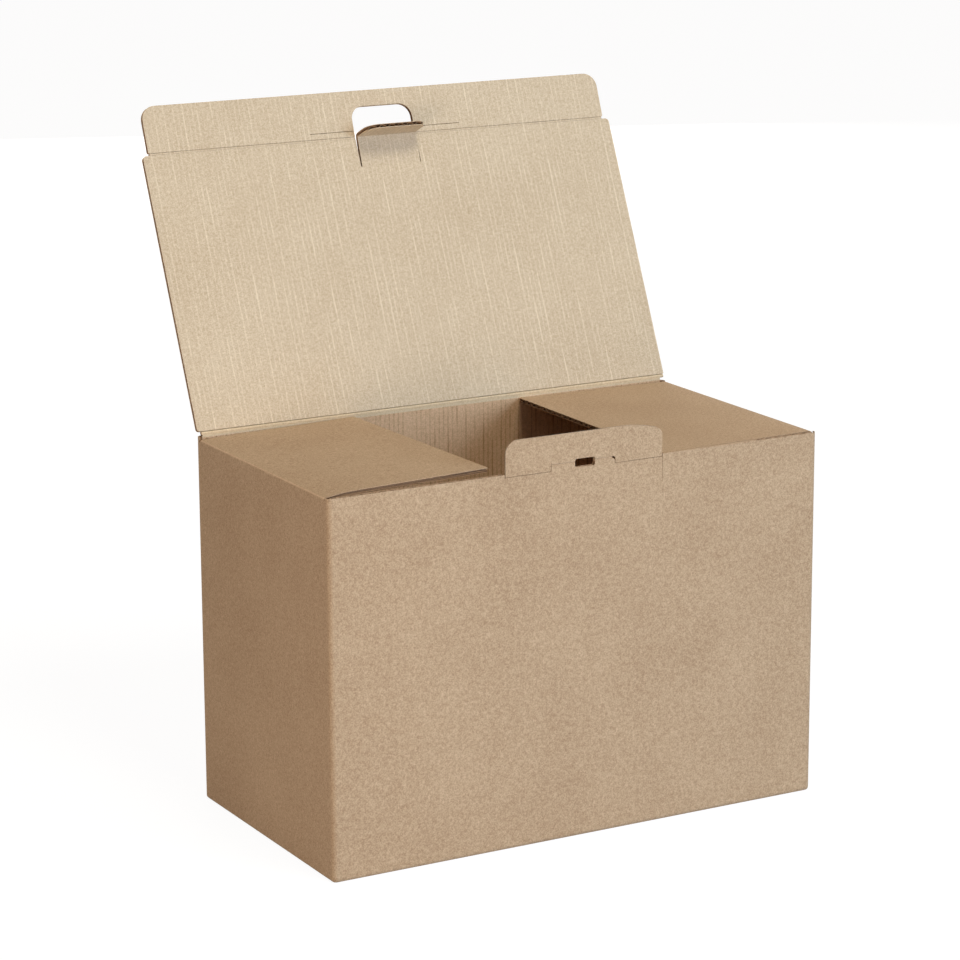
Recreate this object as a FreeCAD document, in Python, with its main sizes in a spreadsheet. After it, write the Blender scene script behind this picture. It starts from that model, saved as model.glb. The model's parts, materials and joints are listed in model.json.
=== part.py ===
import FreeCAD, Part
import math
import os

import Sketcher

# An erected corrugated carton with its tuck lid open, in millimetres and degrees.
# The origin is the middle of the underside. X runs along the width, +Y to the back, +Z up.

SIZES = [
    # The folded board
    ("board", 2.5),
    ("inner_radius", 0.5),
    ("kerf", 0.6),
    ("fold_clearance", 0.3),
    # The walls and the floor
    ("carton_width", 330.0),
    ("carton_depth", 175.0),
    ("wall_height", 227.0),
    ("rim_drop", 0.5),
    ("floor_radius", 2.2),
    ("seam_width", 0.8),
    ("seam_cut", 1.2),
    ("seam_offset", 3.0),
    ("glue_flap_width", 34.0),
    ("glue_flap_drop", 8.0),
    # The dust flaps
    ("left_flap_length", 104.5),
    ("right_flap_length", 107.5),
    ("flap_side_gap", 1.5),
    ("left_flap_lift", 1.0),
    ("right_flap_lift", 0.4),
    # The lid and its finger tongue
    ("lid_axis_rise", 3.0),
    ("lid_length", 174.0),
    ("lid_tilt", 24.0),
    ("lid_corner_cut", 2.5),
    ("window_middle", 1.2),
    ("window_width", 42.5),
    ("tongue_gap", 1.0),
    ("tongue_reach", 20.0),
    ("tongue_leaf", 19.0),
    ("tongue_lean", 5.0),
    ("tongue_bend", 88.0),
    ("tongue_corner", 8.0),
    # The tuck flap
    ("tuck_length", 30.0),
    ("tuck_inset", 4.0),
    ("tuck_lean", 2.8),
    ("tuck_corner", 9.0),
    ("window_height", 19.8),
    ("window_corner", 8.5),
    ("slit_rise", 4.2),
    # The lock tab on the front wall
    ("tab_middle", 2.0),
    ("tab_width", 106.0),
    ("tab_height", 18.0),
    ("tab_corner", 7.5),
    ("tab_axis_rise", 2.0),
    ("neck_middle", 1.0),
    ("neck_width", 43.0),
    ("shoulder_drop", 4.0),
    ("slot_middle", 2.2),
    ("slot_width", 13.5),
    ("slot_top", 2.0),
    ("slot_drop", 3.0),
]

# The mark of a corner that starts a round stretch, and the distance that counts as touching
ROUND = "round"
NEAR = 0.01

doc = FreeCAD.newDocument("Carton")
sheet = doc.addObject("Spreadsheet::Sheet", "Sizes")
for row, (alias, number) in enumerate(SIZES, start=1):
    sheet.set(f"A{row}", alias)
    sheet.set(f"B{row}", str(number))
    sheet.setAlias(f"B{row}", alias)
doc.recompute()


def worth(text):
    """The number that an expression on the sheet comes to."""
    return float(sheet.evalExpression(text))


def new_body(label):
    """An empty body, named as its piece."""
    body = doc.addObject("PartDesign::Body", label)
    body.Label = label
    return body


def new_sketch(body, name, role, offset="0"):
    """A sketch on one of the body's own planes, moved along that plane's normal."""
    sketch = body.newObject("Sketcher::SketchObject", name)
    plane = next(item for item in body.Origin.OriginFeatures if item.Role == role)
    sketch.AttachmentSupport = [(plane, "")]
    sketch.MapMode = "FlatFace"
    sketch.setExpression(".AttachmentOffset.Base.z", offset)
    return sketch


def pin(sketch, index, end, corner):
    """Holds one end of a line at a corner given by two expressions."""
    for kind, text in zip(("DistanceX", "DistanceY"), corner):
        number = sketch.addConstraint(Sketcher.Constraint(kind, -1, 1, index, end, worth(text)))
        sketch.setExpression(f"Constraints[{number}]", text)


def round_stretch(before, start, finish):
    """The arc from start to finish that carries on from the point before in one smooth line."""
    along = start - before
    chord = finish - start
    turn = along.getAngle(chord)
    left = FreeCAD.Vector(-chord.y, chord.x, 0)
    side = 1 if along.cross(chord).z > 0 else -1
    middle = (start + finish) / 2 - left * (side * math.tan(turn / 2) / 2)
    return Part.Arc(start, middle, finish)


def draw(sketch, corners):
    """A closed outline, anticlockwise. A corner that ends with ROUND starts a round stretch."""
    points = [FreeCAD.Vector(worth(corner[0]), worth(corner[1]), 0) for corner in corners]
    followers = points[1:] + points[:1]
    stretches = []
    for number, (corner, start, finish) in enumerate(zip(corners, points, followers)):
        if ROUND in corner:
            index = sketch.addGeometry(round_stretch(points[number - 1], start, finish))
        else:
            index = sketch.addGeometry(Part.LineSegment(start, finish))
        forward = sketch.getPoint(index, 1).distanceToPoint(start) < NEAR
        stretches.append((index, 1, 2) if forward else (index, 2, 1))
    for number, corner in enumerate(corners):
        index, first, last = stretches[number]
        joint = "Tangent" if ROUND in corner else "Coincident"
        before = stretches[number - 1]
        sketch.addConstraint(Sketcher.Constraint(joint, before[0], before[2], index, first))
        pin(sketch, index, first, corner[:2])


def clockwise(corners):
    """The same outline walked the other way, with each round stretch kept."""
    marks = [corner[2:] for corner in corners]
    places = [corner[:2] for corner in corners]
    walked = [place + mark for place, mark in zip(places, marks[-1:] + marks[:-1])]
    return walked[::-1]


def rectangle(x_low, x_high, y_low, y_high):
    """The four corners of an upright rectangle, anticlockwise."""
    return [(x_low, y_low), (x_high, y_low), (x_high, y_high), (x_low, y_high)]


def span(middle, width, spare="0"):
    """The low and high ends of a width about its middle, wider at each end by the spare."""
    half = f"({width} / 2 + {spare})"
    return f"{middle} - {half}", f"{middle} + {half}"


def pad(body, sketch, name, length, side="Symmetric"):
    """Adds board along a sketch."""
    feature = body.newObject("PartDesign::Pad", name)
    feature.Profile = sketch
    feature.SideType = side
    feature.setExpression("Length", length)
    doc.recompute()


def pocket(body, sketch, name, length):
    """Cuts board away on both sides of a sketch, and makes sure that it cut some."""
    before = body.Shape.Volume
    feature = body.newObject("PartDesign::Pocket", name)
    feature.Profile = sketch
    feature.SideType = "Symmetric"
    feature.setExpression("Length", length)
    doc.recompute()
    if not feature.Shape.Volume < before:
        raise RuntimeError(name + " cuts nothing")


def edges_at(shape, places):
    """The names of the straight edges whose two ends lie at one of the places, such as {"x": 3}."""
    found = []
    for number, edge in enumerate(shape.Edges, start=1):
        ends = [vertex.Point for vertex in edge.Vertexes]
        if len(ends) < 2 or edge.Curve.TypeId != "Part::GeomLine":
            continue
        for place in places:
            if all(abs(getattr(p, axis) - at) < NEAR for p in ends for axis, at in place.items()):
                found.append(f"Edge{number}")
                break
    return found


def rounded(body, name, radius, places, kind="PartDesign::Fillet", setting="Radius"):
    """Rounds or cuts the edges at these places, one edge for each."""
    base = body.Tip
    names = edges_at(base.Shape, places)
    if len(names) < len(places):
        raise RuntimeError(name + " finds too few edges")
    feature = body.newObject(kind, name)
    feature.Base = (base, names)
    feature.setExpression(setting, radius)
    doc.recompute()


def turn_about_x(body, angle, y_place, z_place):
    """Stands a flat piece in its place, turned about the width."""
    body.Placement = FreeCAD.Placement(FreeCAD.Vector(), FreeCAD.Rotation(FreeCAD.Vector(1, 0, 0), 1))
    body.setExpression(".Placement.Rotation.Angle", angle)
    body.setExpression(".Placement.Base.y", y_place)
    body.setExpression(".Placement.Base.z", z_place)
    doc.recompute()


# Places that several pieces share
HALF_BOARD = "Sizes.board / 2"
OUTER_RADIUS = "(Sizes.board + Sizes.inner_radius)"
HALF_WIDTH = "Sizes.carton_width / 2"
HALF_DEPTH = "Sizes.carton_depth / 2"
RIM = "(Sizes.wall_height - Sizes.rim_drop)"
LID_AXIS_Y = f"({HALF_DEPTH} - {HALF_BOARD})"
LID_AXIS_Z = "(Sizes.wall_height + Sizes.lid_axis_rise)"
TAB_AXIS_Z = "(Sizes.wall_height + Sizes.tab_axis_rise)"
FLAP_REACH = "(Sizes.carton_depth - 2 * (Sizes.board + Sizes.flap_side_gap))"
TONGUE_ROOT = "(Sizes.lid_length + Sizes.tongue_gap - Sizes.tongue_reach)"
LID_END = f"(Sizes.lid_length - {HALF_BOARD} - Sizes.fold_clearance)"
THROUGH = "4 * Sizes.board"


def add_walls(body):
    """The four walls as one folded ring, rounded at its upright creases, and the glued floor."""
    ring = new_sketch(body, "ring_outline", "XY_Plane")
    draw(ring, rectangle(f"-{HALF_WIDTH}", HALF_WIDTH, f"-{HALF_DEPTH}", HALF_DEPTH))
    pad(body, ring, "ring_block", RIM, "One side")
    x, y = worth(HALF_WIDTH), worth(HALF_DEPTH)
    corners = [{"x": a, "y": b} for a in (-x, x) for b in (-y, y)]
    rounded(body, "upright_creases", OUTER_RADIUS, corners)
    bottom = [{"x": -x, "z": 0}, {"x": x, "z": 0}, {"y": -y, "z": 0}, {"y": y, "z": 0}]
    rounded(body, "floor_creases", "Sizes.floor_radius", bottom)

    # The hollow starts on the inner floor flaps, which leave a lower strip between them
    inner_x = f"({HALF_WIDTH} - Sizes.board)"
    inner_y = f"({HALF_DEPTH} - Sizes.board)"
    hollow_low = "(2 * Sizes.board)"
    hollow = new_sketch(body, "hollow_side", "XZ_Plane")
    flap_end = "(Sizes.carton_width - Sizes.carton_depth) / 2"
    draw(hollow, [
        (f"-{inner_x}", hollow_low),
        (f"-{flap_end}", hollow_low),
        (f"-{flap_end}", "Sizes.board"),
        (flap_end, "Sizes.board"),
        (flap_end, hollow_low),
        (inner_x, hollow_low),
        (inner_x, "Sizes.wall_height + Sizes.board"),
        (f"-{inner_x}", "Sizes.wall_height + Sizes.board"),
    ])
    pocket(body, hollow, "hollow", f"2 * {inner_y}")
    x, y = worth(inner_x), worth(inner_y)
    corners = [{"x": a, "y": b} for a in (-x, x) for b in (-y, y)]
    rounded(body, "inner_creases", "Sizes.inner_radius", corners)

    # The outer floor flaps meet a little behind the middle
    seam = new_sketch(body, "floor_seam_side", "YZ_Plane")
    seam_low, seam_high = span("Sizes.seam_offset", "Sizes.seam_width")
    draw(seam, rectangle(seam_low, seam_high, "-Sizes.board", "Sizes.seam_cut"))
    pocket(body, seam, "floor_seam", "Sizes.carton_width + Sizes.board")

    glue = new_sketch(body, "glue_flap_outline", "XY_Plane")
    draw(glue, rectangle(
        f"-{inner_x} - Sizes.board / 2", f"-{inner_x} + Sizes.board",
        f"{inner_y} - Sizes.glue_flap_width", f"{inner_y} + Sizes.board / 2",
    ))
    pad(body, glue, "glue_flap", f"{RIM} - Sizes.glue_flap_drop", "One side")


def add_dust_flap(body, name, sign, length, lift):
    """One dust flap, folded over the mouth from its side wall. The sign is -1 on the left."""
    top = "Sizes.wall_height"
    wall_out = f"{sign} * {HALF_WIDTH}"
    wall_in = f"{sign} * ({HALF_WIDTH} - Sizes.board)"
    set_back = f"({OUTER_RADIUS} * tan((90 - {lift}) / 2))"
    fold_x = f"({sign} * ({HALF_WIDTH} - {OUTER_RADIUS}))"
    fold_z = f"({top} - {set_back})"
    below = f"({fold_z} - {OUTER_RADIUS})"

    inside = f"{sign} * ({HALF_WIDTH} - 2 * Sizes.board)"
    outside = f"{sign} * ({HALF_WIDTH} + Sizes.board)"
    low, high = (outside, inside) if sign < 0 else (inside, outside)
    room = new_sketch(body, name + "_room", "XZ_Plane")
    draw(room, rectangle(low, high, below, f"{top} + Sizes.board"))
    pocket(body, room, name + "_cut", FLAP_REACH)

    end_x = f"({wall_out} - {sign} * {length} * cos({lift}))"
    end_z = f"({top} + {length} * sin({lift}))"
    outline = [
        (wall_out, below),
        (wall_out, fold_z, ROUND),
        (f"{fold_x} + {sign} * {OUTER_RADIUS} * sin({lift})", f"{fold_z} + {OUTER_RADIUS} * cos({lift})"),
        (end_x, end_z),
        (f"{end_x} - {sign} * Sizes.board * sin({lift})", f"{end_z} - Sizes.board * cos({lift})"),
        (
            f"{fold_x} + {sign} * Sizes.inner_radius * sin({lift})",
            f"{fold_z} + Sizes.inner_radius * cos({lift})",
            ROUND,
        ),
        (wall_in, fold_z),
        (wall_in, below),
    ]
    if sign < 0:
        outline = clockwise(outline)
    profile = new_sketch(body, name + "_side", "XZ_Plane")
    draw(profile, outline)
    pad(body, profile, name, FLAP_REACH)


def add_back_rail(body):
    """The back wall's top edge, rounded under the lid's fold."""
    crown_z = f"({LID_AXIS_Z} - Sizes.board - Sizes.fold_clearance)"
    front, back = f"{HALF_DEPTH} - Sizes.board", HALF_DEPTH
    low = f"{RIM} - Sizes.board"
    rail = new_sketch(body, "back_rail_side", "YZ_Plane")
    draw(rail, [(front, crown_z), (front, low), (back, low), (back, crown_z, ROUND)])
    pad(body, rail, "back_rail", f"Sizes.carton_width - 2 * {OUTER_RADIUS}")


def add_front_edge(body):
    """The front wall's top edge: a raised neck under the lock tab, and a step under each shoulder."""
    middle = f"({HALF_DEPTH} - {HALF_BOARD})"
    sweep = f"sqrt(Sizes.shoulder_drop ^ 2 + ({HALF_BOARD}) ^ 2)"
    step_z = f"{TAB_AXIS_Z} - {sweep} - Sizes.fold_clearance"
    neck_low, neck_high = span("Sizes.neck_middle", "Sizes.neck_width")
    tab_low, tab_high = span("Sizes.tab_middle", "Sizes.tab_width", "Sizes.kerf")
    above = "Sizes.wall_height + Sizes.board"
    for name, low, high in (("left_step", tab_low, neck_low), ("right_step", neck_high, tab_high)):
        step = new_sketch(body, name + "_face", "XZ_Plane", middle)
        draw(step, rectangle(low, high, step_z, above))
        pocket(body, step, name, "2 * Sizes.board")
    neck = new_sketch(body, "neck_face", "XZ_Plane", middle)
    neck_top = f"{TAB_AXIS_Z} - {HALF_BOARD} - Sizes.fold_clearance"
    draw(neck, rectangle(neck_low, neck_high, f"{RIM} - Sizes.board", neck_top))
    pad(body, neck, "neck", "Sizes.board")
    slot = new_sketch(body, "neck_slot_face", "XZ_Plane", middle)
    slot_low, slot_high = span("Sizes.slot_middle", "Sizes.slot_width")
    draw(slot, rectangle(slot_low, slot_high, f"{TAB_AXIS_Z} - Sizes.slot_drop", above))
    pocket(body, slot, "neck_slot", "2 * Sizes.board")


def make_carton_body():
    """The folded sheet without its three moving flaps: walls, floor and dust flaps."""
    body = new_body("carton_body")
    add_walls(body)
    add_dust_flap(body, "left_dust_flap", -1, "Sizes.left_flap_length", "Sizes.left_flap_lift")
    add_dust_flap(body, "right_dust_flap", 1, "Sizes.right_flap_length", "Sizes.right_flap_lift")
    add_back_rail(body)
    add_front_edge(body)
    return body


def add_leaf(body, name, length, width, middle="0"):
    """A flat leaf of board from its fold at the origin along +Y, with the fold's edge rounded."""
    side = new_sketch(body, name + "_side", "YZ_Plane", middle)
    draw(side, [
        ("0", f"-{HALF_BOARD}"), (length, f"-{HALF_BOARD}"),
        (length, HALF_BOARD), ("0", HALF_BOARD, ROUND),
    ])
    pad(body, side, name, width)


def add_tongue(body):
    """The finger tongue, cut from the lid on three sides, leaning in and bent at its middle."""
    lean, bend = "Sizes.tongue_lean", "Sizes.tongue_bend"
    bend_y = f"({TONGUE_ROOT} + Sizes.tongue_reach * cos({lean}))"
    bend_z = f"(Sizes.tongue_reach * sin({lean}))"
    share = f"(Sizes.board / 2 / (1 + cos({bend} - {lean})))"
    miter_y = f"({share} * (sin({lean}) + sin({bend})))"
    miter_z = f"({share} * (cos({lean}) + cos({bend})))"
    tip_y = f"({bend_y} + Sizes.tongue_leaf * cos({bend}))"
    tip_z = f"({bend_z} + Sizes.tongue_leaf * sin({bend}))"
    off_y = f"({HALF_BOARD} * sin({bend}))"
    off_z = f"({HALF_BOARD} * cos({bend}))"
    outline = [
        (f"{TONGUE_ROOT} - Sizes.board", f"-{HALF_BOARD}"),
        (TONGUE_ROOT, f"-{HALF_BOARD}"),
        (f"{bend_y} + {miter_y}", f"{bend_z} - {miter_z}"),
        (f"{tip_y} + {off_y}", f"{tip_z} - {off_z}"),
        (f"{tip_y} - {off_y}", f"{tip_z} + {off_z}"),
        (f"{bend_y} - {miter_y}", f"{bend_z} + {miter_z}"),
        (TONGUE_ROOT, HALF_BOARD),
        (f"{TONGUE_ROOT} - Sizes.board", HALF_BOARD),
    ]
    side = new_sketch(body, "tongue_side", "YZ_Plane", "Sizes.window_middle")
    draw(side, outline)
    width = "(Sizes.window_width - 2 * Sizes.tongue_gap)"
    pad(body, side, "tongue", width)
    outer = {"y": worth(outline[2][0]), "z": worth(outline[2][1])}
    rounded(body, "tongue_crease", "Sizes.board", [outer])
    round_tip(body)


def round_tip(body):
    """Rounds the tongue's two corners, whose edges cross the board at the tip."""
    base = body.Tip
    names = []
    board = worth("Sizes.board")
    highest = base.Shape.BoundBox.ZMax
    for number, edge in enumerate(base.Shape.Edges, start=1):
        ends = [vertex.Point for vertex in edge.Vertexes]
        across = len(ends) == 2 and abs(edge.Length - board) < NEAR
        if across and min(p.z for p in ends) > highest - board:
            names.append(f"Edge{number}")
    feature = body.newObject("PartDesign::Fillet", "tongue_corners")
    feature.Base = (base, names)
    feature.setExpression("Radius", "Sizes.tongue_corner")
    doc.recompute()


def make_lid():
    """The lid's panel, folding on the back wall, with the window's lower part and the tongue."""
    body = new_body("lid")
    add_leaf(body, "panel", LID_END, "Sizes.carton_width")
    x, end = worth(HALF_WIDTH), worth(LID_END)
    corners = [{"x": -x, "y": end}, {"x": x, "y": end}]
    rounded(body, "panel_corners", "Sizes.lid_corner_cut", corners, "PartDesign::Chamfer", "Size")
    window = new_sketch(body, "window_outline", "XY_Plane")
    low, high = span("Sizes.window_middle", "Sizes.window_width")
    draw(window, rectangle(low, high, TONGUE_ROOT, f"{LID_END} + Sizes.board"))
    pocket(body, window, "window", THROUGH)
    add_tongue(body)
    turn_about_x(body, "90 - Sizes.lid_tilt", LID_AXIS_Y, LID_AXIS_Z)
    return body


def make_tuck_flap():
    """The tuck flap on the lid's free edge, with the window's upper part and the lock slit."""
    body = new_body("tuck_flap")
    width = "(Sizes.carton_width - 2 * Sizes.tuck_inset)"
    add_leaf(body, "leaf", "Sizes.tuck_length", width)
    x, end = worth(width) / 2, worth("Sizes.tuck_length")
    rounded(body, "leaf_corners", "Sizes.tuck_corner", [{"x": -x, "y": end}, {"x": x, "y": end}])
    low, high = span("Sizes.window_middle", "Sizes.window_width")
    window = new_sketch(body, "window_outline", "XY_Plane")
    draw(window, rectangle(low, high, "-Sizes.board", "Sizes.window_height"))
    pocket(body, window, "window", THROUGH)
    top = worth("Sizes.window_height")
    corners = [{"x": worth(low), "y": top}, {"x": worth(high), "y": top}]
    rounded(body, "window_corners", "Sizes.window_corner", corners)
    slit_low, slit_high = span("Sizes.tab_middle", "Sizes.tab_width")
    runs = (("left_slit", slit_low, f"{low} + Sizes.kerf"), ("right_slit", f"{high} - Sizes.kerf", slit_high))
    for name, start, stop in runs:
        slit = new_sketch(body, name + "_outline", "XY_Plane")
        draw(slit, rectangle(start, stop, "Sizes.slit_rise", "Sizes.slit_rise + Sizes.kerf"))
        pocket(body, slit, name, THROUGH)
    y_place = f"{LID_AXIS_Y} + Sizes.lid_length * sin(Sizes.lid_tilt)"
    z_place = f"{LID_AXIS_Z} + Sizes.lid_length * cos(Sizes.lid_tilt)"
    turn_about_x(body, "90 - Sizes.lid_tilt + Sizes.tuck_lean", y_place, z_place)
    return body


def make_front_lock_tab():
    """The lock tab that stands on the front wall, hinged at its neck between two shoulders."""
    body = new_body("front_lock_tab")
    add_leaf(body, "neck_leaf", "2 * Sizes.board", "Sizes.neck_width", "Sizes.neck_middle")
    low, high = span("Sizes.tab_middle", "Sizes.tab_width")
    neck_low, neck_high = span("Sizes.neck_middle", "Sizes.neck_width", "Sizes.kerf")
    foot, crotch = "-Sizes.shoulder_drop", "Sizes.board / 2"
    face = new_sketch(body, "tab_face", "XY_Plane")
    draw(face, [
        (low, foot), (neck_low, foot), (neck_low, crotch), (neck_high, crotch),
        (neck_high, foot), (high, foot), (high, "Sizes.tab_height"), (low, "Sizes.tab_height"),
    ])
    pad(body, face, "tab_leaf", "Sizes.board")
    top = worth("Sizes.tab_height")
    corners = [{"x": worth(low), "y": top}, {"x": worth(high), "y": top}]
    rounded(body, "tab_corners", "Sizes.tab_corner", corners)
    slot = new_sketch(body, "slot_outline", "XY_Plane")
    slot_low, slot_high = span("Sizes.slot_middle", "Sizes.slot_width")
    draw(slot, rectangle(slot_low, slot_high, "-Sizes.board", "Sizes.slot_top"))
    pocket(body, slot, "slot", THROUGH)
    turn_about_x(body, "90", f"-{HALF_DEPTH} + {HALF_BOARD}", TAB_AXIS_Z)
    return body


pieces = [make_carton_body(), make_lid(), make_tuck_flap(), make_front_lock_tab()]
doc.recompute()

for item in doc.Objects:
    if "Invalid" in item.State or "Error" in item.State:
        raise RuntimeError(item.Name + " has failed")
for piece in pieces:
    if piece.Shape.isNull() or not piece.Shape.isValid() or len(piece.Shape.Solids) != 1:
        raise RuntimeError(piece.Label + " is not one valid solid")

os.makedirs("parts", exist_ok=True)
for piece in pieces:
    piece.Shape.exportStep(f"parts/{piece.Label}.step")
    print(piece.Label, round(piece.Shape.Volume), piece.Shape.BoundBox)
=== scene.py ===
import json
from math import atan2, cos, degrees, exp, pi, radians, sin, tan

import bmesh
import bpy
from mathutils import Matrix, Vector


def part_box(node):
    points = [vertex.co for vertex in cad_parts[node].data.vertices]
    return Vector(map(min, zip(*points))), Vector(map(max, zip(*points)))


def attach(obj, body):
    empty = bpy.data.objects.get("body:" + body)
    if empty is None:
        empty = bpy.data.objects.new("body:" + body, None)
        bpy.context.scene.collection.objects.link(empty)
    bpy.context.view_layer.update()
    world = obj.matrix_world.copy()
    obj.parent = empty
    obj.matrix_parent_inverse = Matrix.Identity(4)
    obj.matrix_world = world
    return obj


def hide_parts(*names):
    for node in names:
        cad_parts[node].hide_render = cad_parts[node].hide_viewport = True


mm = 0.001

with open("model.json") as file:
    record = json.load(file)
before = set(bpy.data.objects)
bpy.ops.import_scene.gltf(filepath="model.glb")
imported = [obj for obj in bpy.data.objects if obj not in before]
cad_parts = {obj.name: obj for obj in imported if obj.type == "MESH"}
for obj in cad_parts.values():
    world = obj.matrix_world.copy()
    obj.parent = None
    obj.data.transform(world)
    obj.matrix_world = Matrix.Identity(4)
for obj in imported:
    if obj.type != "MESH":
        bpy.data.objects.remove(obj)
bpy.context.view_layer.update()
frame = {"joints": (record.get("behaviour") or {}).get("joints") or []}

# Places that the frame gives
joints = {joint["name"]: joint for joint in frame["joints"]}
lidAxis = Vector(joints["lid_fold"]["pos_m"])
tuckAxis = Vector(joints["tuck_fold"]["pos_m"])
tabAxis = Vector(joints["lock_tab_fold"]["pos_m"])
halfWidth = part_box("lid")[1].x
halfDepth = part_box("carton_body")[1].y
tabLow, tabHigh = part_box("front_lock_tab")
lidRise = (tuckAxis - lidAxis).length
lidTilt = degrees(atan2((tuckAxis - lidAxis).y, (tuckAxis - lidAxis).z))
print("frame loaded, lid tilt", round(lidTilt, 2))

sheet = {  # one folded sheet of B flute board
    "thickness": 2.5 * mm,
    "liner": 0.3 * mm,
    "medium": 0.2 * mm,
    "pitch": 6.35 * mm,
    "stepsPerFlute": 12,
    "recess": 0.06 * mm,  # how far the flutes stay behind the liners' cut edges
    "outerFold": 3.0 * mm,
    "innerFold": 0.5 * mm,
    "flapFold": 1.55 * mm,  # outer radius of the dust flaps' creases, where the board is crushed
    "crushed": 0.28 * mm,
    "foldSteps": 8,
}
halfSheet = sheet["thickness"] / 2
foldMiddle = sheet["innerFold"] + halfSheet
innerX = halfWidth - sheet["thickness"]
innerY = halfDepth - sheet["thickness"]


# Finishes

def paint(red, green, blue):
    # a colour as a paint chart gives it, 0 to 255
    return [((part / 255 + 0.055) / 1.055) ** 2.4 for part in (red, green, blue)] + [1]


def tone(dark, light, grain, line):
    # line is how strongly the flutes' ridges are painted as light lines, a painted highlight of the
    # board's washboard relief, and below zero they are painted dark, as painted shade from grazing light
    return {"dark": paint(*dark), "light": paint(*light), "grain": grain, "line": line}


kraft = {
    "outside": tone((155, 122, 91), (219, 191, 157), 1.0, 0.06),
    # painted highlight: a lighter tone along the ridge of the dust flaps' creases, where light catches it
    "creaseHighlight": tone((178, 144, 111), (231, 204, 173), 0.8, 0.0),
    # the lid's inside liner, with its flute lines painted light as a painted highlight
    "inside": tone((178, 152, 120), (229, 211, 183), 0.95, 0.55),
    # painted highlight: a lighter inside tone for the light band along the lid's hinge, on the hinge bead
    # and the top strip of the back wall's inner liner
    "hingeHighlight": tone((196, 169, 132), (237, 216, 182), 0.8, 0.0),
    # painted shade: the same inside liner as the lid, painted darker and browner for the shade inside the
    # carton, with its flute lines painted dark
    "insideUprightShade": tone((179, 140, 102), (243, 206, 167), 0.8, -0.85),
    # painted shade: darker still, for the shadow in the carton's mouth on the inside of the side walls,
    # floor flaps, seam flap and dust flaps
    "insideSideShade": tone((122, 90, 63), (177, 140, 106), 0.8, -0.85),
    "medium": tone((126, 95, 68), (188, 152, 117), 1.0, 0.0),
    "bump": 0.24,
    "roughness": 0.88,
    "gloss": 0.22,
    "cloud": (0.30, 16),  # share in the blend and scale of the three noises
    "mottle": (0.55, 520),
    "fibre": (1.35, 1250),
    "lineWidth": 0.10,  # share of one flute that its painted light line covers, painted shade where a tone's line is below zero
    "lineWobble": (0.8 * mm, 25),  # how far and how often the lines stray sideways
    "lineStretch": 0.12,
    "lineSets": ((1, 1.0, 260), (-1, 0.6, 340)),  # crest or trough, strength, scale of the breaks
    "lineBreak": 0.36,
    "bumpDepth": 0.15 * mm,
}


def addNode(tree, kind, *inputs, **settings):
    # inputs are in socket order: a number, a colour, a socket to link, or None to leave
    node = tree.nodes.new("ShaderNode" + kind)
    for name, value in settings.items():
        setattr(node, name, value)
    for number, value in enumerate(inputs):
        if isinstance(value, bpy.types.NodeSocket):
            tree.links.new(value, node.inputs[number])
        elif value is not None:
            node.inputs[number].default_value = value
    return node


def maths(tree, operation, first, second=None, third=None):
    return addNode(tree, "Math", first, second, third, operation=operation).outputs[0]


def noise(tree, place, scale, detail, stretch=(1, 1, 1)):
    mapped = addNode(tree, "Mapping", place, None, None, stretch).outputs[0]
    texture = addNode(tree, "TexNoise", mapped)
    texture.inputs["Scale"].default_value = scale
    texture.inputs["Detail"].default_value = detail
    return texture.outputs[0]


def makeKraft(name, shade, across="X"):
    # across is the axis that the flutes lie side by side on
    finish = bpy.data.materials.new(name)
    finish.use_nodes = True
    tree = finish.node_tree
    shader = tree.nodes["Principled BSDF"]
    place = addNode(tree, "TexCoord").outputs["Object"]
    blend = 0.5
    fields = {}
    for field, detail in (("cloud", 2), ("mottle", 3), ("fibre", 3)):
        share, scale = kraft[field]
        fields[field] = noise(tree, place, scale, detail)
        centred = maths(tree, "SUBTRACT", fields[field], 0.5)
        blend = maths(tree, "MULTIPLY_ADD", centred, share * shade["grain"], blend)

    # fine lines over the flutes, broken up along their length: painted highlight, and painted shade where
    # the tone's line is below zero
    parts = addNode(tree, "SeparateXYZ", place)
    reach, often = kraft["lineWobble"]
    wobble = noise(tree, place, often, 2)
    shifted = maths(tree, "MULTIPLY_ADD", wobble, reach, parts.outputs[across])
    turn = maths(tree, "MULTIPLY", shifted, 2 * pi / sheet["pitch"])
    wave = maths(tree, "COSINE", turn)
    stretch = [kraft["lineStretch"]] * 3
    stretch["XYZ".index(across)] = 1
    for side, share, scale in kraft["lineSets"]:
        crest = maths(tree, "MULTIPLY_ADD", wave, side, -cos(pi * kraft["lineWidth"] * 2))
        crest = maths(tree, "MULTIPLY", maths(tree, "MAXIMUM", crest, 0.0), 3.0)
        broken = maths(tree, "SUBTRACT", noise(tree, place, scale, 2, stretch), kraft["lineBreak"])
        broken = maths(tree, "MULTIPLY", maths(tree, "MAXIMUM", broken, 0.0), 4.0 * share)
        lines = maths(tree, "MULTIPLY", crest, broken)
        blend = maths(tree, "MULTIPLY_ADD", lines, shade["line"], blend)

    colour = addNode(tree, "Mix", None, data_type="RGBA", clamp_factor=True)
    tree.links.new(blend, colour.inputs[0])
    colour.inputs[6].default_value = shade["dark"]
    colour.inputs[7].default_value = shade["light"]
    tree.links.new(colour.outputs[2], shader.inputs["Base Color"])
    shader.inputs["Roughness"].default_value = kraft["roughness"]
    shader.inputs["Specular IOR Level"].default_value = kraft["gloss"]

    height = maths(tree, "MULTIPLY_ADD", fields["fibre"], 0.5, fields["mottle"])
    height = maths(tree, "MULTIPLY_ADD", wave, 0.2 * abs(shade["line"]), height)
    bump = addNode(tree, "Bump")
    bump.inputs["Strength"].default_value = kraft["bump"]
    bump.inputs["Distance"].default_value = kraft["bumpDepth"]
    tree.links.new(height, bump.inputs["Height"])
    tree.links.new(bump.outputs[0], shader.inputs["Normal"])
    return finish


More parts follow.
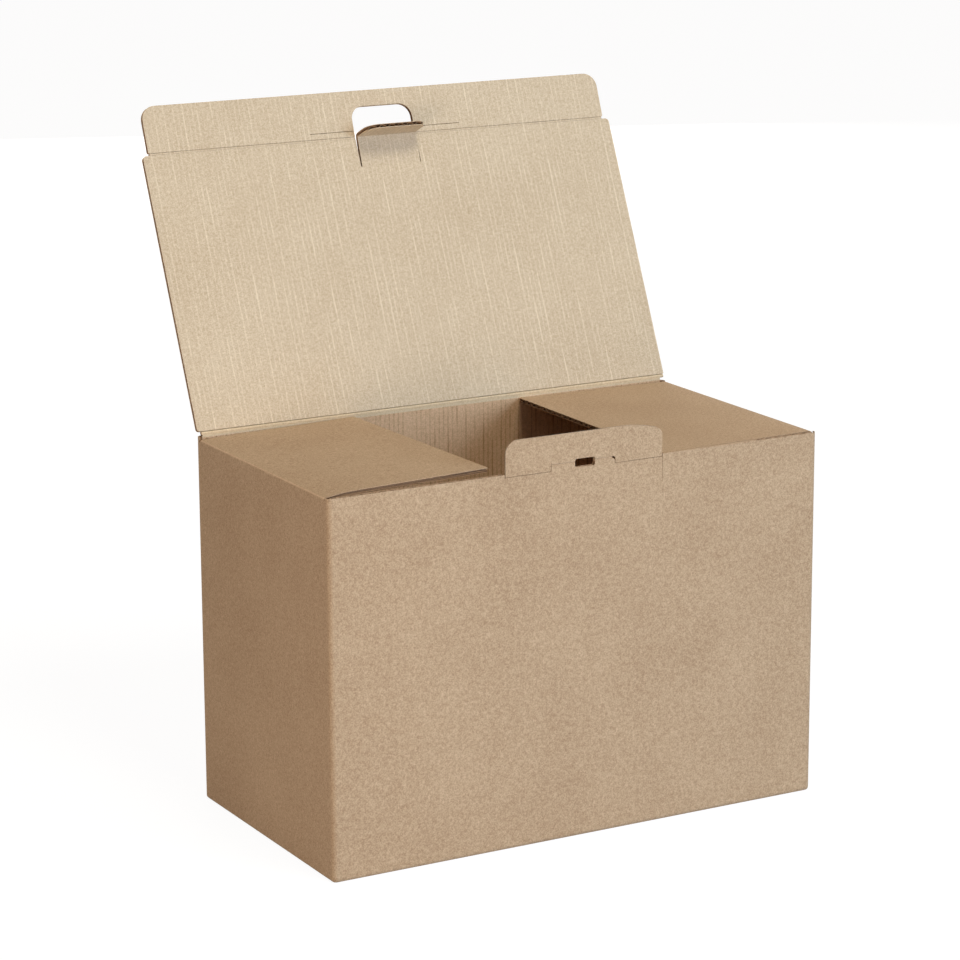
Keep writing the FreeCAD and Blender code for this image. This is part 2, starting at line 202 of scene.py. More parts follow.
outsideX = makeKraft("kraft_outside_upright", kraft["outside"], "X")
outsideY = makeKraft("kraft_outside_side", kraft["outside"], "Y")
creaseHighlightY = makeKraft("kraft_painted_crease_highlight", kraft["creaseHighlight"], "Y")
insideX = makeKraft("kraft_inside_lid", kraft["inside"], "X")
shadedInsideUprightX = makeKraft("kraft_inside_upright_painted_shade", kraft["insideUprightShade"], "X")
shadedInsideSideY = makeKraft("kraft_inside_side_painted_shade", kraft["insideSideShade"], "Y")
hingeHighlightFinish = makeKraft("kraft_inside_painted_hinge_highlight", kraft["hingeHighlight"])
mediumFinish = makeKraft("kraft_fluting", kraft["medium"])
print("finishes made")


# Tools for cutting and folding board

def addPiece(name, bm, body, node, finishes):
    bmesh.ops.recalc_face_normals(bm, faces=bm.faces[:])
    mesh = bpy.data.meshes.new(name)
    bm.to_mesh(mesh)
    bm.free()
    mesh.polygons.foreach_set("use_smooth", [True] * len(mesh.polygons))
    mesh.set_sharp_from_angle(angle=radians(35))
    for finish in finishes:
        mesh.materials.append(finish)
    piece = bpy.data.objects.new(name, mesh)
    bpy.context.collection.objects.link(piece)
    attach(piece, body)
    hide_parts(node)
    return piece


def cutOutline(bm, corners):
    # corners are (x, y, rounding) in order round the blank
    verts = [bm.verts.new((corner[0], corner[1], 0)) for corner in corners]
    bm.faces.new(verts)
    for size in sorted({corner[2] for corner in corners if corner[2]}):
        chosen = [vert for vert, corner in zip(verts, corners) if corner[2] == size]
        bmesh.ops.bevel(bm, geom=chosen, offset=size, offset_type="OFFSET", segments=8,
                        profile=0.5, affect="VERTICES", material=-1)


def cutAcross(bm, place, normal):
    geometry = bm.verts[:] + bm.edges[:] + bm.faces[:]
    bmesh.ops.bisect_plane(bm, geom=geometry, dist=1e-7, plane_co=place, plane_no=normal)


def spread(low, high, step):
    count = max(1, round((high - low) / step))
    return [low + (high - low) * number / count for number in range(count + 1)]


def outlinePairs(corners):
    # the blank's edges after its corners are rounded, as pairs of points
    bm = bmesh.new()
    cutOutline(bm, corners)
    pairs = [[vert.co.xy.copy() for vert in edge.verts] for edge in bm.edges]
    bm.free()
    return pairs


def reachAt(pairs, place, across):
    # lowest and highest point of the blank on one line along its flutes
    along = 1 - across
    found = []
    for start, finish in pairs:
        if (start[across] <= place) != (finish[across] <= place):
            share = (place - start[across]) / (finish[across] - start[across])
            found.append(start[along] + (finish[along] - start[along]) * share)
    return min(found), max(found)


def makeLiner(corners, bottom, gridX=(), gridY=()):
    bm = bmesh.new()
    cutOutline(bm, corners)
    for place in gridX:
        cutAcross(bm, (place, 0, 0), (1, 0, 0))
    for place in gridY:
        cutAcross(bm, (0, place, 0), (0, 1, 0))
    grown = bmesh.ops.extrude_face_region(bm, geom=bm.faces[:])["geom"]
    lifted = [item for item in grown if isinstance(item, bmesh.types.BMVert)]
    bmesh.ops.translate(bm, verts=lifted, vec=(0, 0, sheet["liner"]))
    bmesh.ops.translate(bm, verts=bm.verts[:], vec=(0, 0, bottom))
    return bm


def makeFlutes(corners, alongX=False, gridX=(), gridY=()):
    # the wavy middle layer: a fine strip of columns, each as long as the blank is there
    across = 1 if alongX else 0
    pairs = outlinePairs(corners)
    low = min(corner[across] for corner in corners) + sheet["recess"]
    high = max(corner[across] for corner in corners) - sheet["recess"]
    steps = round((high - low) / sheet["pitch"] * sheet["stepsPerFlute"])
    rise = halfSheet - sheet["liner"] - sheet["medium"] / 2
    bm = bmesh.new()
    bmesh.ops.create_grid(bm, x_segments=steps, y_segments=1, size=1)
    for vert in bm.verts:
        place = low + (high - low) * (vert.co.x + 1) / 2
        bottom, top = reachAt(pairs, place, across)
        along = top - sheet["recess"] if vert.co.y > 0 else bottom + sheet["recess"]
        height = rise * cos(2 * pi * place / sheet["pitch"]) + sheet["medium"] / 2
        vert.co = (along, place, height) if alongX else (place, along, height)
    for place in gridX:
        cutAcross(bm, (place, 0, 0), (1, 0, 0))
    for place in gridY:
        cutAcross(bm, (0, place, 0), (0, 1, 0))
    bmesh.ops.recalc_face_normals(bm, faces=bm.faces[:])
    bmesh.ops.solidify(bm, geom=bm.faces[:], thickness=sheet["medium"])
    return bm


def addBoard(name, corners, place, body, node, finishes, innerUp=True, alongX=False,
             gridX=(), gridY=(), shape=None, creaseHighlight=None):
    # one blank of board: two liners with the flutes between them; finishes are outside, inside
    low, high = -halfSheet, halfSheet - sheet["liner"]
    layers = {
        "outer_liner": (makeLiner(corners, low if innerUp else high, gridX, gridY), finishes[0]),
        "inner_liner": (makeLiner(corners, high if innerUp else low, gridX, gridY), finishes[1]),
        "flutes": (makeFlutes(corners, alongX, gridX, gridY), mediumFinish),
    }
    for layer, (bm, finish) in layers.items():
        # the outer liner's faces in this band along the blank get the painted crease highlight
        if creaseHighlight and layer == "outer_liner":
            for face in bm.faces:
                face.material_index = int(creaseHighlight[0] < face.calc_center_median().y < creaseHighlight[1])
        if shape:
            for vert in bm.verts:
                vert.co = shape(vert.co)
        bmesh.ops.transform(bm, matrix=place, verts=bm.verts[:])
        finishList = [finish, creaseHighlightY] if creaseHighlight and layer == "outer_liner" else [finish]
        addPiece(name + "_" + layer, bm, body, node, finishList)


def alongFold(distance, stretches):
    # walks along a folded line; each stretch is (length, turn), and gives ahead, aside and heading
    ahead, aside, heading = 0.0, 0.0, 0.0
    for number, (length, turn) in enumerate(stretches):
        last = number == len(stretches) - 1
        step = distance if last or distance < 0 else min(distance, length)
        if turn:
            radius = length / turn
            end = heading + turn * step / length
            ahead += radius * (sin(end) - sin(heading))
            aside += radius * (cos(heading) - cos(end))
            heading = end
        else:
            ahead += step * cos(heading)
            aside += step * sin(heading)
        distance -= step
        if distance <= 0:
            break
    return ahead, aside, heading


def folded(point, stretches, start=0.0):
    ahead, aside, heading = alongFold(point.y - start, stretches)
    return Vector((point.x, start + ahead - point.z * sin(heading), aside + point.z * cos(heading)))


def addBead(name, axis, low, high, radius, body, node, finishes, outward):
    # the rounded fold under a hinge line: the same from all sides, so it stays closed in every pose
    bm = bmesh.new()
    bmesh.ops.create_cone(bm, cap_ends=True, segments=24, radius1=radius, radius2=radius, depth=high - low)
    for face in bm.faces:
        side = Vector((0, face.calc_center_median().y, -face.calc_center_median().x))
        face.material_index = 0 if side.dot(outward) > 0 else 1
    bmesh.ops.rotate(bm, verts=bm.verts[:], cent=(0, 0, 0), matrix=Matrix.Rotation(pi / 2, 3, "Y"))
    bmesh.ops.translate(bm, verts=bm.verts[:], vec=((low + high) / 2, axis.y, axis.z))
    addPiece(name, bm, body, node, finishes)


def placed(across, along, up, origin):
    # a placing matrix from the world directions of a blank's own axes
    turned = Matrix((across, along, up)).transposed().to_4x4()
    return Matrix.Translation(origin) @ turned


# The walls and the floor

walls = {
    "rim": 227.2 * mm,
    "backRim": 228.5 * mm,
    "wallTop": 227.0 * mm,
    "floorRadius": 2.2 * mm,
    "innerCorner": 0.9 * mm,
    "flapHalf": halfDepth - 4.0 * mm,
    "innerBackTop": lidAxis.z - 0.6 * mm,
    "outerBackTop": lidAxis.z - 1.35 * mm,
    "strip": 227.7 * mm,
    "seam": (2.6 * mm, 3.4 * mm),
    "shoulderTop": 225.4 * mm,
    "neck": (-20.5 * mm, 22.5 * mm),
    "neckCut": 0.35 * mm,
    "neckRound": 1.8 * mm,
    "neckDrop": 0.4 * mm,
    "slotBottom": 226.0 * mm,
    "slot": (-4.55 * mm, 8.95 * mm),
    "slotRound": 1.2 * mm,
    "slits": ((-51.7 * mm, 207 * mm), (55.2 * mm, 210 * mm)),
    "slitWidth": 0.14 * mm,
}
leftFlap = {"length": 104.5 * mm, "lift": radians(1.0), "frontRise": 3.2 * mm, "backRise": 0.4 * mm,
            "root": -1.2 * mm, "tip": 0.6 * mm}
rightFlap = {"length": 107.5 * mm, "lift": radians(0.15), "frontRise": -0.15 * mm, "backRise": 0.2 * mm,
             "root": -1.4 * mm, "tip": 1.4 * mm}


def foldStart(flap):
    # where the side wall starts to bend into its dust flap
    return walls["wallTop"] - sheet["flapFold"] * tan((pi / 2 - flap["lift"]) / 2)


def frontCorners():
    # the front wall's outline with its lowered shoulders, its neck and the lower half of the slot
    x, bottom, rim = halfWidth - sheet["outerFold"], walls["floorRadius"], walls["rim"]
    tabLeft, tabRight = tabLow.x - walls["neckCut"], tabHigh.x + walls["neckCut"]
    step, (neckLeft, neckRight) = walls["shoulderTop"], walls["neck"]
    slotLeft, slotRight = walls["slot"]
    neckTop = tabAxis.z - walls["neckDrop"]
    left, right = walls["slits"]
    half = walls["slitWidth"] / 2
    return [
        (-x, bottom, 0), (x, bottom, 0), (x, rim, 0), (tabRight, rim, 0),
        (right[0] + half, right[1], 0), (right[0] - half, right[1], 0), (right[0] - half, step, 0),
        (neckRight, step, 0), (neckRight, neckTop, walls["neckRound"]), (slotRight, neckTop, 0),
        (slotRight, walls["slotBottom"], walls["slotRound"]),
        (slotLeft, walls["slotBottom"], walls["slotRound"]),
        (slotLeft, neckTop, 0), (neckLeft, neckTop, 0), (neckLeft, step, 0),
        (left[0] + half, step, 0), (left[0] + half, left[1], 0), (left[0] - half, left[1], 0),
        (tabLeft, rim, 0), (-x, rim, 0),
    ]


def makeShell(depth, backTop, cornerRadius, floorRadius):
    # the box's liner at one depth in the board, open at the top and along the front wall
    x, y = halfWidth - depth, halfDepth - depth
    bm = bmesh.new()
    bmesh.ops.create_cube(bm, size=1)
    bmesh.ops.scale(bm, vec=(2 * x, 2 * y, backTop - depth), verts=bm.verts[:])
    bmesh.ops.translate(bm, vec=(0, 0, (backTop + depth) / 2), verts=bm.verts[:])
    roof = [face for face in bm.faces if face.normal.z > 0.9]
    bmesh.ops.delete(bm, geom=roof, context="FACES_ONLY")
    upright = [edge for edge in bm.edges if abs(edge.verts[0].co.z - edge.verts[1].co.z) > mm]
    bmesh.ops.bevel(bm, geom=upright, offset=cornerRadius, offset_type="OFFSET", segments=6,
                    profile=0.5, affect="EDGES", material=-1)
    bottom = [edge for edge in bm.edges if all(vert.co.z < depth + mm / 100 for vert in edge.verts)]
    bmesh.ops.bevel(bm, geom=bottom, offset=floorRadius, offset_type="OFFSET", segments=5,
                    profile=0.5, affect="EDGES", material=-1)
    sides = ((-1, foldStart(leftFlap)), (1, foldStart(rightFlap)))
    frontX = halfWidth - sheet["outerFold"]
    for place in (-frontX, frontX):
        cutAcross(bm, (place, 0, 0), (1, 0, 0))
    for place in (-walls["flapHalf"], walls["flapHalf"], *walls["seam"]):
        cutAcross(bm, (0, place, 0), (0, 1, 0))
    heights = [walls["floorRadius"], walls["rim"], walls["backRim"], walls["strip"]]
    for place in heights + [side[1] for side in sides]:
        cutAcross(bm, (0, 0, place), (0, 0, 1))
    gone = []
    for face in bm.faces:
        middle = face.calc_center_median()
        foldTop = sides[0][1] if middle.x < 0 else sides[1][1]
        onSide = abs(middle.x) > frontX and abs(middle.y) < walls["flapHalf"]
        onBack = middle.y > 0 and abs(middle.x) < frontX
        onFront = middle.y < -walls["flapHalf"] and abs(middle.x) < frontX
        rim = walls["backRim"] if middle.y > 0 and middle.x < 0 else walls["rim"]
        overTop = middle.z > (foldTop if onSide else rim) and not onBack
        onSeam = walls["seam"][0] < middle.y < walls["seam"][1]
        inSeam = depth == 0 and onSeam and middle.z < depth + mm / 10
        if overTop or inSeam or (onFront and middle.z > walls["floorRadius"]):
            gone.append(face)
    bmesh.ops.delete(bm, geom=gone, context="FACES")
    bmesh.ops.recalc_face_normals(bm, faces=bm.faces[:])
    bmesh.ops.solidify(bm, geom=bm.faces[:], thickness=sheet["liner"])
    for face in bm.faces:
        middle = face.calc_center_median()
        # the back wall's inner liner above the strip height gets the painted hinge highlight
        onHighlightStrip = depth > 0 and middle.y > 0 and middle.z > walls["strip"] and abs(face.normal.x) < 0.7
        face.material_index = 1 if abs(face.normal.x) > 0.7 else 2 if onHighlightStrip else 0
    return bm


def addWalls():
    outer = makeShell(0, walls["outerBackTop"], sheet["outerFold"], walls["floorRadius"])
    addPiece("walls_outer_liner", outer, "walls", "carton_body", [outsideX, outsideY])
    depth = sheet["thickness"] - sheet["liner"]
    inner = makeShell(depth, walls["innerBackTop"], walls["innerCorner"], sheet["innerFold"])
    addPiece("walls_inner_liner", inner, "walls", "carton_body", [shadedInsideUprightX, shadedInsideSideY, hingeHighlightFinish])
    frontPlace = placed((1, 0, 0), (0, 0, 1), (0, -1, 0), (0, halfSheet - halfDepth, 0))
    addBoard("front_wall", frontCorners(), frontPlace, "walls", "carton_body",
             (outsideX, shadedInsideUprightX), innerUp=False)

    # the flutes of the other walls, from the floor to the edges that show them
    low, inset = walls["floorRadius"], sheet["outerFold"]
    back = [(-halfWidth + inset, low, 0), (halfWidth - inset, low, 0),
            (halfWidth - inset, walls["outerBackTop"], 0), (-halfWidth + inset, walls["outerBackTop"], 0)]
    bm = makeFlutes(back)
    bmesh.ops.transform(bm, matrix=placed((1, 0, 0), (0, 0, 1), (0, -1, 0), (0, halfDepth - halfSheet, 0)),
                        verts=bm.verts[:])
    addPiece("back_wall_flutes", bm, "walls", "carton_body", [mediumFinish])
    for name, sign, flap in (("left", -1, leftFlap), ("right", 1, rightFlap)):
        y, top = halfDepth - inset, foldStart(flap)
        corner = walls["flapHalf"]
        rim = walls["backRim"] if sign < 0 else walls["rim"]
        side = [(-y, low, 0), (y, low, 0), (y, rim, 0), (corner, rim, 0),
                (corner, top, 0), (-corner, top, 0), (-corner, walls["rim"], 0), (-y, walls["rim"], 0)]
        bm = makeFlutes(side)
        middle = (sign * (halfWidth - halfSheet), 0, 0)
        bmesh.ops.transform(bm, matrix=placed((0, 1, 0), (0, 0, 1), (1, 0, 0), middle), verts=bm.verts[:])
        addPiece(name + "_wall_flutes", bm, "walls", "carton_body", [mediumFinish])


inside = {
    "flapRound": 2 * mm,
    "seamWidth": 34 * mm,
    "seamDrop": 8 * mm,
    "seamSlope": 6 * mm,
    "seamRound": 1.5 * mm,
}


def addFloorFlaps():
    # the two inner floor flaps and the glued seam flap
    reach = halfWidth - halfDepth
    for name, sign in (("left", -1), ("right", 1)):
        corners = [(0, -innerY, 0), (innerX - reach, -innerY, inside["flapRound"]),
                   (innerX - reach, innerY, inside["flapRound"]), (0, innerY, 0)]
        place = placed((-sign, 0, 0), (0, -sign, 0), (0, 0, 1),
                       (sign * innerX, 0, sheet["thickness"] + halfSheet))
        addBoard(name + "_floor_flap", corners, place, "walls", "carton_body",
                 (outsideY, shadedInsideSideY), alongX=True)
    low, high, top = innerY - inside["seamWidth"], innerY, walls["rim"] - inside["seamDrop"]
    corners = [(low, 2 * sheet["thickness"], 0), (high, 2 * sheet["thickness"], 0),
               (high, top + inside["seamSlope"], 0), (low, top, inside["seamRound"])]
    place = placed((0, 1, 0), (0, 0, 1), (1, 0, 0), (halfSheet - innerX, 0, 0))
    addBoard("seam_flap", corners, place, "walls", "carton_body", (outsideY, shadedInsideSideY))


crushedRim = {
    "gap": 0.6 * mm,
    "end": 120 * mm,
    "play": 0.04 * mm,
    "height": 0.5 * mm,
    "sink": 0.2 * mm,
    "round": 0.15 * mm,
}


def addCrushedRim():
    # right of the lock tab the front wall's upper edge is pressed shut
    low, high = tabHigh.x + crushedRim["gap"], crushedRim["end"]
    size = (high - low, sheet["thickness"] - crushedRim["play"], crushedRim["height"])
    middle = ((low + high) / 2, halfSheet - halfDepth, walls["rim"] - crushedRim["sink"])
    bm = bmesh.new()
    bmesh.ops.create_cube(bm, size=1)
    bmesh.ops.scale(bm, vec=size, verts=bm.verts[:])
    bmesh.ops.translate(bm, vec=middle, verts=bm.verts[:])
    bmesh.ops.bevel(bm, geom=bm.edges[:], offset=crushedRim["round"], offset_type="OFFSET", segments=2,
                    profile=0.5, affect="EDGES", material=-1)
    addPiece("crushed_front_rim", bm, "walls", "carton_body", [outsideX])


dustFlap = {
    "endRound": 0.8 * mm,
    "crushReach": 2.2 * mm,  # how far the crushed board reaches from the middle of the crease
    "springReach": 6.0 * mm,  # half of the rise comes next to the crease, over about this length
    "gridX": 24 * mm,
    "gridY": 12 * mm,
    "creaseHighlight": (0.4, 0.7),  # the crease's ridge, painted lighter as a painted highlight, as shares of its arc
}


def addDustFlap(name, sign, flap):
    # a side wall's flap, bent over the mouth; its front corner may stand up a little
    turn = pi / 2 - flap["lift"]
    neutral = sheet["flapFold"] - halfSheet
    arc = neutral * turn
    straight = flap["length"] - sheet["flapFold"] * tan(turn / 2)
    half, total = walls["flapHalf"], arc + straight
    stretches = [(arc, turn), (straight, 0)]

    def shape(point):
        across = point.x * sign  # towards the front is positive
        past = max(0.0, point.y - arc)
        if point.z > 0:
            near = exp(-((point.y - arc / 2) / dustFlap["crushReach"]) ** 2)
            point = Vector((point.x, point.y, point.z * (1 - near * (1 - sheet["crushed"] / halfSheet))))
        level = 0.5 * (1 - exp(-past / dustFlap["springReach"])) + 0.5 * past / straight
        share = (1 + across / half) / 2
        rise = flap["backRise"] + (flap["frontRise"] - flap["backRise"]) * share
        result = folded(point, stretches)
        result.y += rise * level
        return result

    root = half + flap["root"]
    corners = [(-root, 0, 0), (root, 0, 0), (half + flap["tip"], total, dustFlap["endRound"]),
               (-half - flap["tip"], total, dustFlap["endRound"])]
    origin = (sign * (halfWidth - halfSheet), 0, foldStart(flap))
    place = placed((0, -sign, 0), (0, 0, 1), (-sign, 0, 0), origin)
    gridX = spread(-half, half, dustFlap["gridX"])[1:-1]
    gridY = spread(0, arc, arc / sheet["foldSteps"]) + spread(arc, total, dustFlap["gridY"])[1:-1]
    creaseHighlight = [arc * share for share in dustFlap["creaseHighlight"]]
    addBoard(name, corners, place, "walls", "carton_body", (outsideY, shadedInsideSideY),
             gridX=gridX, gridY=gridY, shape=shape, creaseHighlight=creaseHighlight)


# The lid with its tongue

lid = {
    "window": (-20.05 * mm, 22.45 * mm),
    "root": 155.0 * mm,
    "foot": 1.08 * mm,
    "creaseGap": 0.8 * mm,
    "footRounds": (1.8 * mm, 0.5 * mm),
    "endRound": 2.5 * mm,
    "windowEnd": 0.8 * mm,
    "tongueGaps": (0.9 * mm, 0.5 * mm),
    "tongueFoot": 1.5 * mm,
    "tongueLean": radians(5),
    "tongueBend": radians(83),
    "tongueReach": 20.0 * mm,
    "tongueLeaf": 19.0 * mm,
    "tongueRound": 8.0 * mm,
    "tongueCurl": radians(6),
}


def addLid():
    left, right = lid["window"]
    root, foot, end = lid["root"], lid["foot"], lidRise - lid["creaseGap"]
    corners = [
        (-halfWidth, foot, lid["footRounds"][0]), (halfWidth, foot, lid["footRounds"][1]),
        (halfWidth, end, lid["endRound"]), (right, end, lid["windowEnd"]),
        (right, root, 0), (left, root, 0),
        (left, end, lid["windowEnd"]), (-halfWidth, end, lid["endRound"]),
    ]
    place = Matrix.Translation(lidAxis) @ Matrix.Rotation(radians(90 - lidTilt), 4, "X")
    addBoard("lid", corners, place, "lid_leaf", "lid", (outsideX, insideX))

    low, high = left + lid["tongueGaps"][0], right - lid["tongueGaps"][1]
    bent, arc = lid["tongueFoot"], foldMiddle * lid["tongueBend"]
    stretches = [(bent, lid["tongueLean"]), (lid["tongueReach"] - bent - arc / 2, 0),
                 (arc, lid["tongueBend"]), (lid["tongueLeaf"], lid["tongueCurl"])]
    total = lid["tongueReach"] + lid["tongueLeaf"]
    bendAt = lid["tongueReach"] - arc / 2
    corners = [(low, root, 0), (high, root, 0), (high, root + total, lid["tongueRound"]),
               (low, root + total, lid["tongueRound"])]
    gridY = [root + place for place in
             [bent / 2, bent, *spread(bendAt, bendAt + arc, arc / sheet["foldSteps"]),
              *spread(bendAt + arc, total, 4 * mm)[1:-1]]]
    addBoard("lid_tongue", corners, place, "lid_leaf", "lid", (outsideX, insideX),
             gridY=gridY, shape=lambda point: folded(point, stretches, root))


# The tuck flap

tuck = {
    "lean": 2.8,
    "reach": 30.0 * mm,
    "inset": 4.0 * mm,
    "round": 9.0 * mm,
    "endRound": 0.8 * mm,
    "windowHeight": 19.8 * mm,
    "windowRound": 8.5 * mm,
    "slitRise": 4.2 * mm,
    "slitWidth": 0.35 * mm,
}


def addTuckFlap():
    x, top = halfWidth - tuck["inset"], tuck["reach"]
    left, right = lid["window"]
    start, cut = tuck["slitRise"], tuck["slitRise"] + tuck["slitWidth"]
    rise, gap = tuck["windowHeight"], lid["creaseGap"]
    corners = [
        (-x, gap, tuck["endRound"]), (left, gap, 0), (left, start, 0), (tabLow.x, start, 0),
        (tabLow.x, cut, 0), (left, cut, 0), (left, rise, tuck["windowRound"]),
        (right, rise, tuck["windowRound"]), (right, cut, 0), (tabHigh.x, cut, 0), (tabHigh.x, start, 0),
        (right, start, 0), (right, gap, 0), (x, gap, tuck["endRound"]),
        (x, top, tuck["round"]), (-x, top, tuck["round"]),
    ]
    place = Matrix.Translation(tuckAxis) @ Matrix.Rotation(radians(90 - lidTilt + tuck["lean"]), 4, "X")
    addBoard("tuck_flap", corners, place, "tuck_leaf", "tuck_flap", (outsideX, insideX))


# The lock tab on the front wall

tab = {
    "round": 8.0 * mm,
    "crushDrop": 4.5 * mm,
    "crushFrom": 19.0 * mm,
    "crushRound": 4.0 * mm,
    "slotTop": 2.0 * mm,
    "creaseGap": 0.75 * mm,
    "footGap": 0.25 * mm,
    "edge": 3.0 * mm,  # the die pressed the tab's rim thin
    "edgeShare": 0.35,
}


def addLockTab():
    low, high = tabLow.x, tabHigh.x
    top, foot = tabHigh.z - tabAxis.z, walls["shoulderTop"] + tab["footGap"] - tabAxis.z
    start = tab["creaseGap"]
    neckLeft, neckRight = walls["neck"][0] - walls["neckCut"], walls["neck"][1] + walls["neckCut"]
    slotLeft, slotRight = walls["slot"]
    corners = [
        (low, foot, 0), (neckLeft, foot, 0), (neckLeft, start, 0), (slotLeft, start, 0),
        (slotLeft, tab["slotTop"], walls["slotRound"]), (slotRight, tab["slotTop"], walls["slotRound"]),
        (slotRight, start, 0), (neckRight, start, walls["neckRound"]),
        (neckRight, foot, 0), (high, foot, 0),
        (high, top - tab["crushDrop"], tab["crushRound"]),
        (high - tab["crushFrom"], top, tab["round"]),
        (low, top, tab["round"]),
    ]
    place = Matrix.Translation((0, tabAxis.y, tabAxis.z)) @ Matrix.Rotation(pi / 2, 4, "X")

    def shape(point):
        # thinner towards the free edges, with the outside left flat
        near = min(point.x - low, high - point.x, top - point.y)
        for middle, corner in ((low + tab["round"], -1), (high - tab["round"], 1)):
            if (point.x - middle) * corner > 0 and point.y > top - tab["round"]:
                aside = Vector((point.x - middle, point.y - top + tab["round"]))
                near = min(near, tab["round"] - aside.length)
        share = min(1.0, max(0.0, near / tab["edge"]))
        share = tab["edgeShare"] + (1 - tab["edgeShare"]) * share * share * (3 - 2 * share)
        return Vector((point.x, point.y, halfSheet - (halfSheet - point.z) * share))

    ring = [share * tab["edge"] for share in (0.25, 0.5, 0.75, 1)]
    gridX = [low + place for place in ring] + [high - place for place in ring]
    gridX += spread(low + tab["edge"], high - tab["edge"], 4 * mm)[1:-1]
    gridY = [top - place for place in ring] + [top - tab["round"], top - tab["round"] * 0.7]
    addBoard("lock_tab", corners, place, "tab_leaf", "front_lock_tab",
             (outsideX, insideX), innerUp=False, gridX=gridX, gridY=gridY, shape=shape)


# The rounded folds on the hinge lines

folds = {
    "lidBead": halfSheet - 0.13 * mm,
    "bead": halfSheet - 0.2 * mm,
    "lidBeadEnds": (2.6 * mm, 0.4 * mm),
}


def addFolds():
    left, right = folds["lidBeadEnds"]
    low, high = left - halfWidth, halfWidth - right
    # the hinge bead's faces towards the front and below get the painted hinge highlight
    addBead("lid_fold_bead", lidAxis, low, high, folds["lidBead"],
            "walls", "carton_body", [outsideX, hingeHighlightFinish], Vector((0, 1, 0.4)))
    left, right = lid["window"]
    tuckX = halfWidth - tuck["inset"] - tuck["endRound"]
    outward = Vector((0, 1, 0))
    for side, low, high in (("left", -tuckX, left), ("right", right, tuckX)):
        addBead("tuck_fold_bead_" + side, tuckAxis, low, high, folds["bead"],
                "lid_leaf", "lid", [outsideX, insideX], outward)
    neckLeft, neckRight = walls["neck"]
    neckEnd = neckRight - walls["neckRound"]
    slotLeft, slotRight = walls["slot"]
    for side, low, high in (("left", neckLeft, slotLeft), ("right", slotRight, neckEnd)):
        addBead("neck_fold_bead_" + side, tabAxis, low, high, folds["bead"],
                "walls", "carton_body", [outsideX, insideX], Vector((0, -1, 0)))


addWalls()
addFloorFlaps()
addCrushedRim()
addDustFlap("left_dust_flap", -1, leftFlap)
addDustFlap("right_dust_flap", 1, rightFlap)
print("carton body folded")
addLid()
addTuckFlap()
addLockTab()
addFolds()
print("lid, tuck flap and lock tab folded")


# Studio

studio = {
    "floorSize": 30.0,
    "floorGlow": 0.93,
    "floorPaint": 0.14,
    "floorBounce": 0.4,
    "ambient": 0.275,
    "ambientColour": (1.0, 0.855, 0.780, 1),
    "key": {"place": (1.6, -2.6, 0.85), "size": 1.4, "power": 62.1, "colour": (0.574, 0.758, 1.0)},
    "top": {"place": (0.1, -1.1, 2.3), "size": 0.8, "power": 21.9, "colour": (1.0, 0.978, 0.846)},
    "back": {"place": (1.1, 2.7, 0.3), "size": 1.6, "power": 40, "colour": (1.0, 0.900, 0.800)},
    "side": {"place": (-1.15, -0.85, 0.13), "size": 0.5, "power": 7.54, "colour": (1.0, 0.890, 0.807)},
    "cameraPlace": (-0.98786, -1.73398, 0.69119),
    "yaw": 0.5096,
    "pitch": 0.2416,
    "roll": -0.0047,
    "lens": 127.71,
}


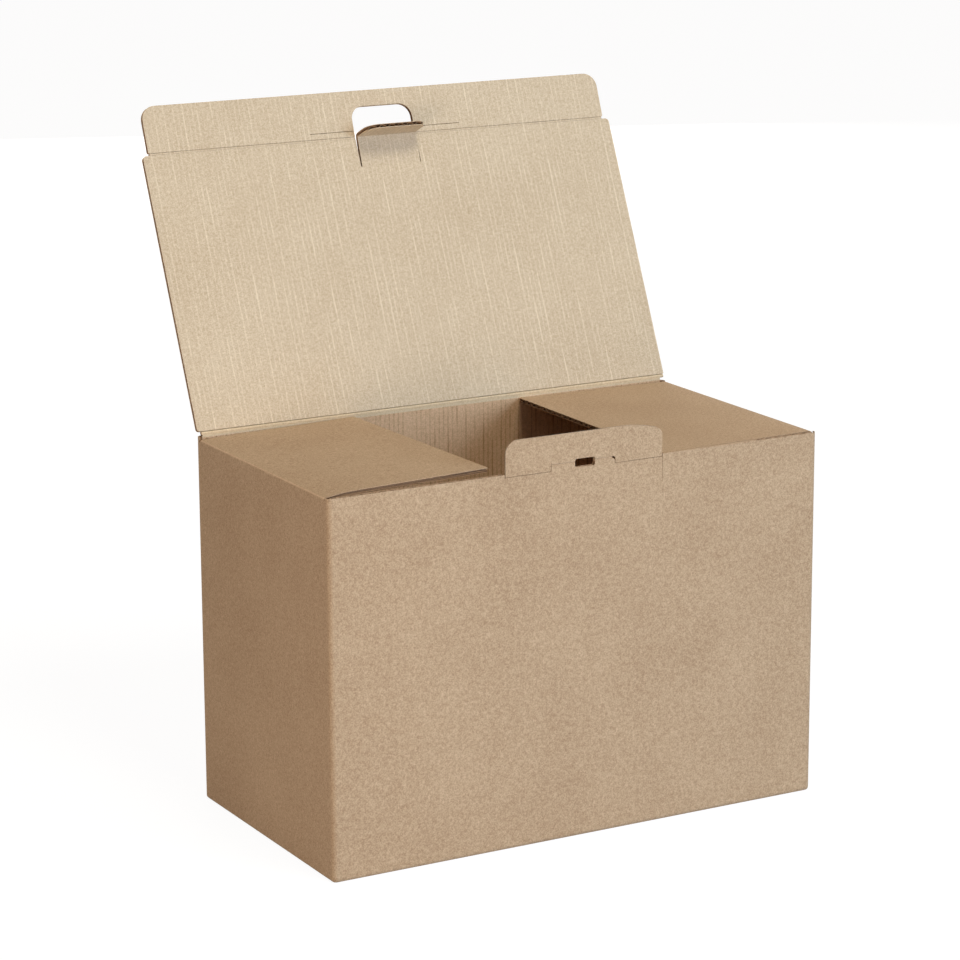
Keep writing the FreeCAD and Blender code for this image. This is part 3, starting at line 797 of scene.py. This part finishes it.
def addFloor():
    bm = bmesh.new()
    bmesh.ops.create_grid(bm, x_segments=1, y_segments=1, size=studio["floorSize"] / 2)
    mesh = bpy.data.meshes.new("studio_floor")
    bm.to_mesh(mesh)
    bm.free()
    paper = bpy.data.materials.new("studio_paper")
    paper.use_nodes = True
    tree = paper.node_tree
    tree.nodes.remove(tree.nodes["Principled BSDF"])
    rays = addNode(tree, "LightPath").outputs
    seen = maths(tree, "MAXIMUM", rays["Is Camera Ray"], rays["Is Glossy Ray"])
    seen = maths(tree, "MAXIMUM", seen, rays["Is Transmission Ray"])
    glow = addNode(tree, "Emission", (1, 1, 1, 1), studio["floorGlow"]).outputs[0]
    shade = addNode(tree, "BsdfDiffuse", (*[studio["floorPaint"]] * 3, 1)).outputs[0]
    shown = addNode(tree, "AddShader", glow, shade).outputs[0]
    bounced = addNode(tree, "BsdfDiffuse", (*[studio["floorBounce"]] * 3, 1)).outputs[0]
    mixed = addNode(tree, "MixShader", seen, bounced, shown).outputs[0]
    tree.links.new(mixed, tree.nodes["Material Output"].inputs[0])
    mesh.materials.append(paper)
    floor = bpy.data.objects.new("studio_floor", mesh)
    bpy.context.collection.objects.link(floor)


def addWorld():
    world = bpy.data.worlds.new("studio_world")
    bpy.context.scene.world = world
    world.use_nodes = True
    tree = world.node_tree
    rays = addNode(tree, "LightPath").outputs
    seen = maths(tree, "MAXIMUM", rays["Is Camera Ray"], rays["Is Glossy Ray"])
    seen = maths(tree, "MAXIMUM", seen, rays["Is Transmission Ray"])
    strength = maths(tree, "MULTIPLY_ADD", seen, 1 - studio["ambient"], studio["ambient"])
    backdrop = tree.nodes["Background"]
    tree.links.new(strength, backdrop.inputs["Strength"])
    colour = addNode(tree, "Mix", seen, data_type="RGBA")
    colour.inputs[6].default_value = studio["ambientColour"]
    colour.inputs[7].default_value = (1, 1, 1, 1)
    tree.links.new(colour.outputs[2], backdrop.inputs["Color"])


def addLamp(name):
    settings = studio[name]
    lamp = bpy.data.lights.new(name, "AREA")
    lamp.shape = "DISK"
    lamp.size = settings["size"]
    lamp.energy = settings["power"]
    lamp.color = settings["colour"]
    lampObject = bpy.data.objects.new(name, lamp)
    lampObject.location = settings["place"]
    aim = Vector((0, 0, 0.2)) - lampObject.location
    lampObject.rotation_euler = aim.to_track_quat("-Z", "Y").to_euler()
    bpy.context.collection.objects.link(lampObject)


def addCamera():
    camera = bpy.data.cameras.new("camera")
    camera.lens = studio["lens"]
    camera.sensor_width = 36
    camera.clip_end = 100
    cameraObject = bpy.data.objects.new("camera", camera)
    turned = (Matrix.Rotation(-studio["yaw"], 4, "Z") @ Matrix.Rotation(pi / 2 - studio["pitch"], 4, "X")
              @ Matrix.Rotation(studio["roll"], 4, "Z"))
    cameraObject.matrix_world = Matrix.Translation(studio["cameraPlace"]) @ turned
    bpy.context.collection.objects.link(cameraObject)
    bpy.context.scene.camera = cameraObject


addFloor()
addWorld()
addLamp("key")
addLamp("top")
addLamp("side")
addLamp("back")
addCamera()
bpy.context.scene.view_settings.view_transform = "Standard"
print("studio ready")
